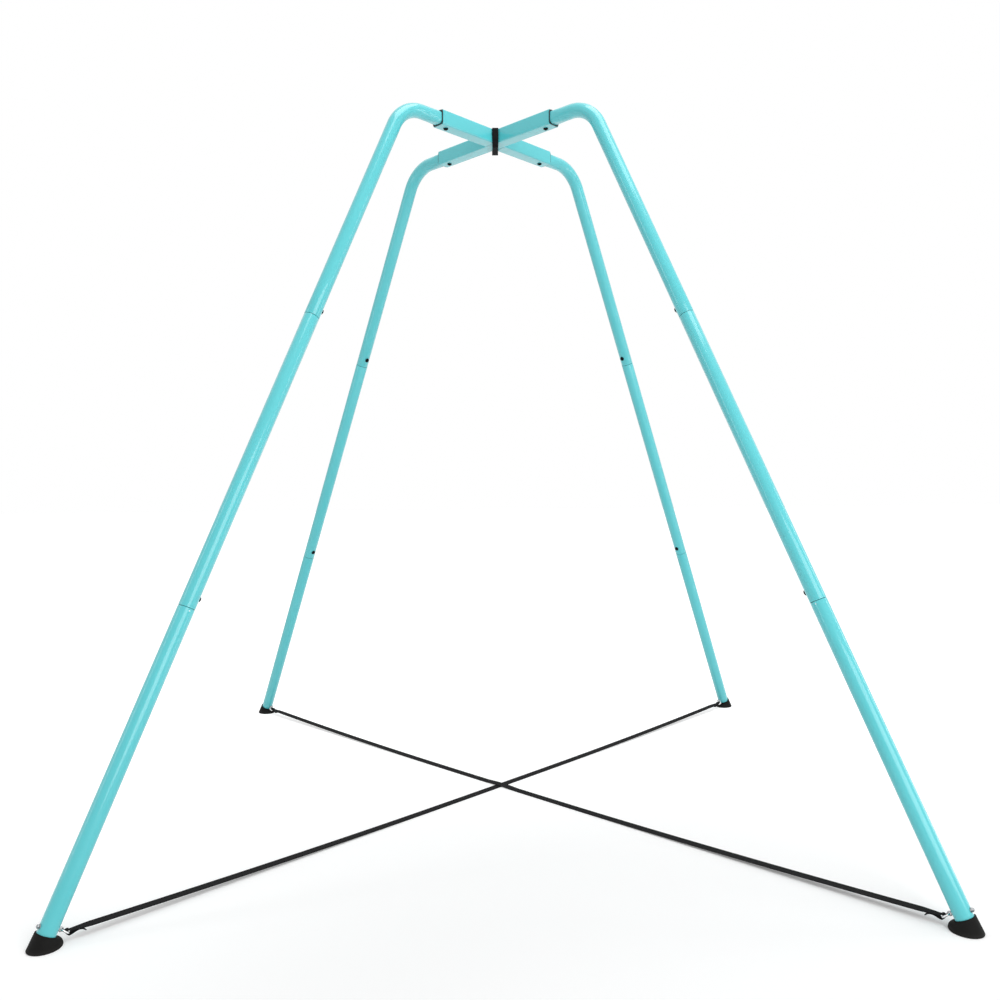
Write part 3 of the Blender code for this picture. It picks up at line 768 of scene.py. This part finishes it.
def button_head(bm, head, height, shank, length, key):
    """A button head screw on Z, its head above z = 0, with a socket for a key."""
    dome = []
    for k in range(9):
        angle = radians(dome_from + (dome_to - dome_from) * k / 8)
        dome.append((head / 2 * sin(angle), height * cos(angle)))
    top = dome[0][1]
    profile = [(key * 0.60, top + 0.0001), *dome]
    profile += [(head / 2, -0.0001), (shank / 2, -0.0001), (shank / 2, -length), (0, -length)]
    turned(bm, profile, screw_segments)

    def mouth(co):
        return Vector((*(co.xy.normalized() * key * 0.585), co.z))

    def hexagonal(co):
        size = hexagon(atan2(co.y, co.x), key)
        return Vector((*(co.xy.normalized() * size), co.z - 0.0003))

    edges = drawn(bm, [e for e in bm.edges if e.is_boundary], mouth)
    edges = drawn(bm, edges, hexagonal)
    edges = drawn(bm, edges, lambda co: co - Vector((0, 0, height * 0.55)))
    bottom = bm.verts.new((0, 0, top - height * 0.75))
    for e in edges:
        bm.faces.new((*e.verts, bottom))


screw_finish, shader, base = new_finish("black_steel", Metallic=1.0)
oxide = base.place().noise(500, 4)
feed(
    shader,
    Base_Color=oxide.blend((0.004, 0.004, 0.004, 1), (0.013, 0.013, 0.014, 1)),
    Roughness=oxide * 0.25 + 0.28,
    Normal=oxide.bump(0.00005, 0.3),
)

for side, azimuth in legs.items():
    seat = Matrix.Translation((arm_reach - screw_from_arm_end, 0, -arm_half - fit))
    under_arm = at_hub(azimuth) @ seat @ Matrix.Rotation(pi, 4, "X")
    screws = {f"hub_bolt_{side}": (under_arm, hub_screw)}
    for name, joint in (("upper", upper_length), ("lower", lower_joint)):
        seat = Matrix.Translation((tube_radius + fit, 0, joint - screw_above_joint))
        inner_side = down_leg(azimuth) @ seat @ Matrix.Rotation(radians(90), 4, "Y")
        screws[f"{name}_joint_bolt_{side}"] = (inner_side, leg_screw)
    for name, (place, sizes) in screws.items():
        bm = bmesh.new()
        button_head(bm, **sizes)
        bm.transform(place)
        screw = piece(f"{name}_button_head", bm, screw_finish)
        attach(screw, "stand")
        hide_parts(name)

# The rubber feet. Each is one moulding of black rubber pushed onto the tube's end, cut level for
# the floor: straight down its outer side and round like a toe on its inner side.
foot_collar = 0.0025
collar_radius = 0.02435
sole_half_length = 0.037
sole_half_width = 0.034
sole_shift = 0.0105
sole_edge = 0.0025
flank_rings = 12
foot_segments = 96
socket_radius = tube_radius + fit
floor_radius = corner_radius + hub_height * tan(lean)

rubber_finish, shader, base = new_finish("black_rubber", Specular_IOR_Level=0.12)
place = base.place()
pores = place.noise(1100, 3)
scuff = place.noise(60, 5)
height = base.node("ShaderNodeSeparateXYZ", {}, {0: place}, output=2)
dust = base.node(
    "ShaderNodeMath",
    {"operation": "MULTIPLY_ADD", "use_clamp": True},
    {0: height, 1: -90, 2: 1},
)
shade = dust * scuff * 0.9 + pores * 0.35
feed(
    shader,
    Base_Color=shade.blend((0.004, 0.004, 0.0038, 1), (0.020, 0.019, 0.018, 1)),
    Roughness=scuff * 0.2 + 0.58,
    Normal=pores.bump(0.00012, 0.4),
)


def on_collar(angle, rise, radius):
    """A point round the slanted tube, by its height above the floor along the leg's line."""
    across = Vector((0, radius * sin(angle), 0))
    return leg_inward * (-radius * cos(angle)) + across - leg_down * rise


def on_sole(angle, inset, z):
    """A point round the level oval sole."""
    x = (sole_half_length - inset) * cos(angle) - sole_shift
    return Vector((x, (sole_half_width - inset) * sin(angle), z))


def flank(angle, step):
    """A point on the foot's side: straight on its outer side, bulging on its inner side."""
    bulge = ((1 - cos(angle)) / 2) ** 2
    high = on_collar(angle, foot_rise - foot_collar, collar_radius)
    low = on_sole(angle, 0, sole_edge)
    along = (1 - bulge) * step + bulge * sin(step * pi / 2)
    fall = (1 - bulge) * step + bulge * (1 - cos(step * pi / 2))
    point = high.lerp(low, along)
    point.z = high.z + (low.z - high.z) * fall
    return point


def next_ring(bm, angles, edges, shape):
    """Extrudes a ring of edges, whose new points keep their angle and go where shape says."""
    old = {v for e in edges for v in e.verts}
    made = bmesh.ops.extrude_edge_only(bm, edges=edges)["geom"]
    fresh = [e for e in made if isinstance(e, bmesh.types.BMVert)]
    for v in fresh:
        source = next(e.other_vert(v) for e in v.link_edges if e.other_vert(v) in old)
        angles[v] = angles[source]
    for v in fresh:
        v.co = shape(angles[v])
    return [
        e
        for e in made
        if isinstance(e, bmesh.types.BMEdge) and all(v in fresh for v in e.verts)
    ]


# From inside the socket over the collar's rim to where the flank starts: height, then radius.
collar_rings = (
    (foot_rise - 0.0004, socket_radius),
    (foot_rise, socket_radius + 0.0004),
    (foot_rise, collar_radius - 0.0009),
    (foot_rise - 0.0003, collar_radius - 0.0003),
    (foot_rise - 0.0010, collar_radius),
    (foot_rise - foot_collar, collar_radius),
)
# From the flank round the sole's edge to its shallow recess: how far in, then height.
sole_rings = ((0.0004, 0.0010), (0.0012, 0), (0.0060, 0), (0.0075, 0.0015))
for side, azimuth in legs.items():
    bm = bmesh.new()
    ring = bmesh.ops.create_circle(bm, segments=foot_segments, radius=1)["verts"]
    angles = {v: atan2(v.co.y, v.co.x) for v in ring}
    for v in ring:
        v.co = on_collar(angles[v], foot_rise - foot_socket, socket_radius)
    edges = edges_at(ring)
    bmesh.ops.edgeloop_fill(bm, edges=edges)
    for rise, radius in collar_rings:
        edges = next_ring(bm, angles, edges, lambda angle: on_collar(angle, rise, radius))
    for k in range(1, flank_rings + 1):
        edges = next_ring(bm, angles, edges, lambda angle: flank(angle, k / flank_rings))
    for inset, z in sole_rings:
        edges = next_ring(bm, angles, edges, lambda angle: on_sole(angle, inset, z))
    bmesh.ops.edgeloop_fill(bm, edges=edges)
    turn = Matrix.Rotation(radians(azimuth), 4, "Z")
    bm.transform(turn @ Matrix.Translation((floor_radius, 0, 0)))
    foot = piece(f"rubber_foot_{side}_moulded", bm, rubber_finish)
    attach(foot, "stand")
    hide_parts(f"rubber_foot_{side}")

# The eye bolts, washers and nuts. Zinc plated steel: the eye is on the inner side of the leg just
# above its foot, and its thread comes out through a washer and a nut on the outer side.
eye_radius = 0.0043
eye_wire = 0.0016
shank_radius = 0.0025
thread_depth = 0.0004
thread_crests = 8
thread_spacing = 0.001
thread_end = 0.002
hole_radius = shank_radius + fit
washer_radius = 0.00575
washer_thickness = 0.0012
washer_ease = 0.0002
nut_height = 0.004
nut_across = 0.0092 * cos(pi / 6)
nut_face_radius = 0.0041
nut_chamfer = 0.0004
nut_rings = 8

zinc_finish, shader, base = new_finish("zinc_steel", Metallic=1.0)
place = base.place()
bloom = place.noise(220, 5)
fine = place.noise(1600, 2)
feed(
    shader,
    Base_Color=bloom.blend((0.30, 0.31, 0.32, 1), (0.54, 0.55, 0.56, 1)),
    Roughness=bloom * 0.16 + 0.16,
    Normal=fine.bump(0.00004, 0.3),
)


def shank_profile():
    """The bolt's shank and rolled thread, from its tip to where it runs into the eye."""
    tip = eye_reach + tube_radius + fit + washer_thickness + fit + nut_height + thread_end
    profile = [(0, tip), (shank_radius - 2 * thread_depth, tip)]
    profile.append((shank_radius - thread_depth, tip - thread_depth))
    for k in range(2 * thread_crests):
        z = tip - 0.0006 - k * thread_spacing / 2
        profile.append((shank_radius - (thread_depth if k % 2 else 0), z))
    profile += [(shank_radius - 0.0001, z) for z in (tip - 0.0090, eye_radius + 0.0010)]
    return profile + [(0.0014, eye_radius - 0.0004), (0, eye_radius - 0.0006)]


def nut_ring(z, widest):
    """A move for a ring round Z: it goes to z, as the nut's hexagon or this circle within it."""

    def place(co):
        size = min(hexagon(atan2(co.y, co.x), nut_across), widest)
        return Vector((*(co.xy.normalized() * size), z))

    return place


for side, azimuth in legs.items():
    at_eye = down_leg(azimuth) @ Matrix.Translation((0, 0, eye_slant))

    bm = bmesh.new()
    turned(bm, shank_profile(), 32)
    bm.transform(Matrix.Rotation(radians(-90), 4, "Y"))
    ring = bmesh.ops.create_circle(
        bm,
        segments=20,
        radius=eye_wire,
        matrix=Matrix.Translation((eye_radius, 0, 0)),
    )["verts"]
    full_spin(bm, ring + edges_at(ring), (0, 1, 0), 48)
    bm.transform(at_eye @ Matrix.Translation((eye_reach, 0, 0)))
    eye = piece(f"eye_bolt_{side}_threaded", bm, zinc_finish, sharp=60)
    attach(eye, "stand")
    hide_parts(f"eye_bolt_{side}")

    bm = bmesh.new()
    r, h = washer_radius, washer_thickness / 2
    profile = [(r - washer_ease, h), (r, h - washer_ease), (r, washer_ease - h)]
    profile += [(r - washer_ease, -h), (hole_radius, -h), (hole_radius, h)]
    turned(bm, profile, 48, closed=True)
    outer_side = at_eye @ Matrix.Translation((-tube_radius - fit - h, 0, 0))
    bm.transform(outer_side @ Matrix.Rotation(radians(90), 4, "Y"))
    washer = piece(f"eye_washer_{side}_plated", bm, zinc_finish)
    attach(washer, "stand")
    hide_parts(f"eye_washer_{side}")

    bm = bmesh.new()
    under = Matrix.Translation((0, 0, -nut_height / 2))
    ring = bmesh.ops.create_circle(bm, segments=72, radius=hole_radius, matrix=under)["verts"]
    first = edges_at(ring)
    edges = first
    for k in range(nut_rings + 1):
        z = nut_height * (k / nut_rings - 0.5)
        cone = nut_face_radius + min(k, nut_rings - k) * nut_chamfer
        edges = drawn(bm, edges, nut_ring(z, cone))
    last = drawn(bm, edges, nut_ring(nut_height / 2, hole_radius))
    bmesh.ops.bridge_loops(bm, edges=first + last)
    nut_x = -tube_radius - 2 * fit - washer_thickness - nut_height / 2
    bm.transform(at_eye @ Matrix.Translation((nut_x, 0, 0)) @ Matrix.Rotation(radians(90), 4, "Y"))
    nut = piece(f"eye_nut_{side}_plated", bm, zinc_finish)
    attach(nut, "stand")
    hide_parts(f"eye_nut_{side}")

# The strap rings. Bright zinc plated 4 mm wire, bent round and butt welded, hanging in the eyes.
# Each is its own body, and the strap's bight leaves it a little play.
butt_weld_at = radians(65)
butt_weld_swell = 0.10
butt_weld_spread = 0.09

bright_finish, shader, base = new_finish("bright_zinc_steel", Metallic=1.0)
bloom = base.place().noise(300, 4)
feed(
    shader,
    Base_Color=bloom.blend((0.66, 0.67, 0.68, 1), (0.86, 0.87, 0.88, 1)),
    Roughness=bloom * 0.14 + 0.14,
    Normal=bloom.bump(0.00004, 0.3),
)

for side, azimuth in legs.items():
    bm = bmesh.new()
    ring = bmesh.ops.create_circle(
        bm,
        segments=24,
        radius=ring_wire / 2,
        matrix=Matrix.Translation((ring_radius, 0, 0)) @ Matrix.Rotation(radians(90), 4, "X"),
    )["verts"]
    full_spin(bm, ring + edges_at(ring), (0, 0, 1), 96)
    for v in bm.verts:
        angle = atan2(v.co.y, v.co.x)
        core = Vector((cos(angle), sin(angle), 0)) * ring_radius
        off_weld = abs(angle - butt_weld_at) / butt_weld_spread
        v.co = core + (v.co - core) * (1 + butt_weld_swell * max(1 - off_weld, 0))
    bm.transform(
        down_leg(azimuth)
        @ Matrix.Translation((eye_reach, 0, eye_slant))
        @ Matrix.Rotation(lean - ring_drop, 4, "Y")
        @ Matrix.Translation((ring_radius, 0, 0))
    )
    hoop = piece(f"strap_ring_{side}_welded", bm, bright_finish)
    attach(hoop, f"ring_{side}")
    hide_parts(f"strap_ring_{side}")

# The sling. A loop of 19 mm black webbing over the cross from its front notch to its rear one, its
# ends lapped on top and sewn with a crossed box. Its lower half hangs free, with room to swing
# sideways.
sling_width = 0.019
sling_drop = 0.014
sling_tab = 0.004
sling_swing = radians(20)
sling_corner = 0.009
loop_corner = 0.010
lap = 0.0020
sewn_front = -0.020
sewn_rear = 0.018
sewn_half_width = 0.007
corner_steps = 6
swept = sling_width / 2 * cos(sling_swing) + sling_tab * sin(sling_swing)
sling_in = arm_half * sqrt(2) + swept + fit + strap_thickness / 2
sling_out = sling_in + strap_thickness + fit
sling_top = arm_half + fit + strap_thickness / 2
sling_bottom = strap_thickness / 2 - arm_half - sling_drop

front = [Vector((0, y, sling_top)) for y in (0.024, 0.008, -0.018)]
for k in range(corner_steps + 1):
    angle = pi / 2 * k / corner_steps
    y = -sling_out + sling_corner * (1 - sin(angle))
    front.append(Vector((0, y, sling_top - sling_corner * (1 - cos(angle)))))
front += [
    Vector((0, -sling_out, 0.004)),
    Vector((0, -sling_out, -0.012)),
    Vector((0, -(sling_out + sling_in) / 2, -0.0165)),
    Vector((0, -sling_in, -0.021)),
    Vector((0, -sling_in, sling_bottom + loop_corner)),
]
for k in range(1, corner_steps + 1):
    angle = pi / 2 * k / corner_steps
    y = -sling_in + loop_corner * (1 - cos(angle))
    front.append(Vector((0, y, sling_bottom + loop_corner * (1 - sin(angle)))))
rear = [Vector((0, -p.y, p.z)) for p in reversed(front[3:])]
rear.append(Vector((0, 0.031, sling_top + lap * 0.4)))
rear += [Vector((0, y, sling_top + lap)) for y in (0.022, 0.004, -0.024)]
line = [p + Vector((0, 0, hub_height)) for p in smooth_line(front + rear, 4)]
bm = webbing(line, [sling_width] * len(line), Vector((1, 0, 0)), strap_thickness)
cloth_faces = len(bm.faces)
sewn_top = hub_height + sling_top + lap + strap_thickness / 2
for row in crossed_box(sewn_front, sewn_rear, sewn_half_width):
    start, stop = (Vector((x, y, sewn_top)) for y, x in row)
    stitches(bm, start, stop)
bm.faces.ensure_lookup_table()
for face in bm.faces[cloth_faces:]:
    face.material_index = 1
sling = piece("hanging_sling", bm, webbing_finish, thread_finish)
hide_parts("sling_wrap", "sling_loop")
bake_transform(sling)

# The studio. A white floor that keeps the stand's shadow, white all round, a large soft lamp at
# the right, a narrow upright one on each side whose long reflection runs down the tubes, and one
# overhead.
lit_from = 0.4
lit_until = 3.2
shadow_middle = Vector((0.3, -1.4, 0))

bm = bmesh.new()
bmesh.ops.create_grid(bm, x_segments=1, y_segments=1, size=30)
floor_finish, shader, base = new_finish(
    "floor_white", Base_Color=(0.86, 0.86, 0.86, 1), Roughness=0.9, Emission_Strength=1
)
floor = piece("floor", bm, floor_finish)
camera_ray = base.node("ShaderNodeLightPath", {}, {}, output="Is Camera Ray")
seen = base.math("MAXIMUM", camera_ray, camera_ray.other("Is Glossy Ray"))
away = base.node(
    "ShaderNodeVectorMath", {"operation": "DISTANCE"}, {0: base.place(), 1: shadow_middle}, output=1
)
far = base.node(
    "ShaderNodeMapRange",
    {"interpolation_type": "SMOOTHSTEP"},
    {0: away, 1: lit_from, 2: lit_until, 3: 0, 4: 1},
)
glow = far.blend((0.09, 0.09, 0.09, 1), (0.64, 0.64, 0.64, 1))
feed(shader, Emission_Color=seen.blend((0, 0, 0, 1), glow))

world = bpy.data.worlds.new("studio")
world.use_nodes = True
scene.world = world
background = world.node_tree.nodes["Background"]
background.inputs["Color"].default_value = (1, 1, 1, 1)
base = Shade(world.node_tree)
camera_ray = base.node("ShaderNodeLightPath", {}, {}, output="Is Camera Ray")
plain = base.math("MAXIMUM", camera_ray, camera_ray.other("Is Glossy Ray"))
plain = base.math("MAXIMUM", plain, camera_ray.other("Is Transmission Ray"))
feed(background, Strength=plain * 0.45 + 0.55)


def lamp(name, place, target, width, height, power):
    """A rectangular soft lamp that faces the target."""
    data = bpy.data.lights.new(name, "AREA")
    data.shape = "RECTANGLE"
    data.size = width
    data.size_y = height
    data.energy = power
    made = bpy.data.objects.new(name, data)
    made.location = place
    made.rotation_euler = (Vector(target) - Vector(place)).to_track_quat("-Z", "Y").to_euler()
    scene.collection.objects.link(made)


lamp("lamp_right", (2.3, -3.9, 2.2), (0.7, -0.2, 1.1), 3.4, 2.6, 78)
lamp("lamp_edge", (3.5, -0.4, 1.5), (0.9, -0.9, 0.9), 0.3, 2.6, 10)
lamp("lamp_left", (-3.6, -1.6, 2.2), (0, 0, 1.0), 0.5, 2.6, 11)
lamp("lamp_over", (0.6, -0.8, 4.6), (0, 0, 0.6), 2.4, 2.4, 56)
